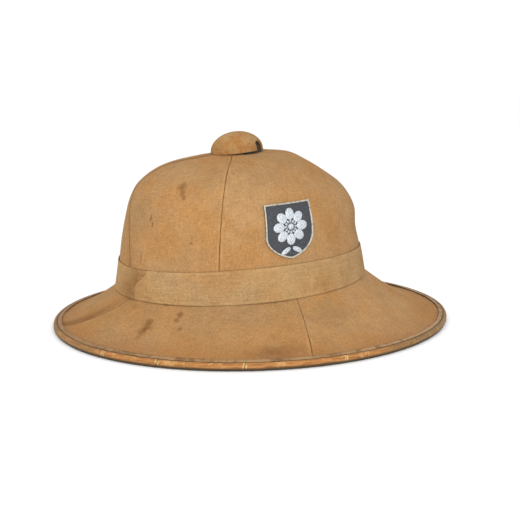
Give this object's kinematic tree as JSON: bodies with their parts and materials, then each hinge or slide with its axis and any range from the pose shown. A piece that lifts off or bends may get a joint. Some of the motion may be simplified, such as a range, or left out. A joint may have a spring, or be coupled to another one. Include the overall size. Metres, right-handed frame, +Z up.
{
  "type": "pith helmet",
  "caption": "Canvas-covered sun helmet with a gored crown, a wide sloping brim bound in leather, a band, a domed vent cap and a shield badge.",
  "frame": {"origin": "middle of the rim, on the surface that the rim rests on", "axes": "+Z up; the front of the helmet faces -Y; the wearer's left, with the badge, is +X"},
  "size_m": [0.2859, 0.3398, 0.1569],
  "materials": {
    "canvas": "matte",
    "band_canvas": "matte",
    "leather": "worn satin",
    "cork": "matte",
    "badge_metal": "worn satin"
  },
  "bodies": {
    "root": {"shell": "cork", "crown_panel_1": "canvas", "crown_panel_2": "canvas", "crown_panel_3": "canvas", "crown_panel_4": "canvas", "crown_panel_5": "canvas", "crown_panel_6": "canvas", "brim_panel_1": "canvas", "brim_panel_2": "canvas", "brim_panel_3": "canvas", "brim_panel_4": "canvas", "band": "band_canvas", "rim_binding": "leather", "vent_cap": "canvas", "vent_post": "cork", "badge": "badge_metal"}
  },
  "joints": []
}
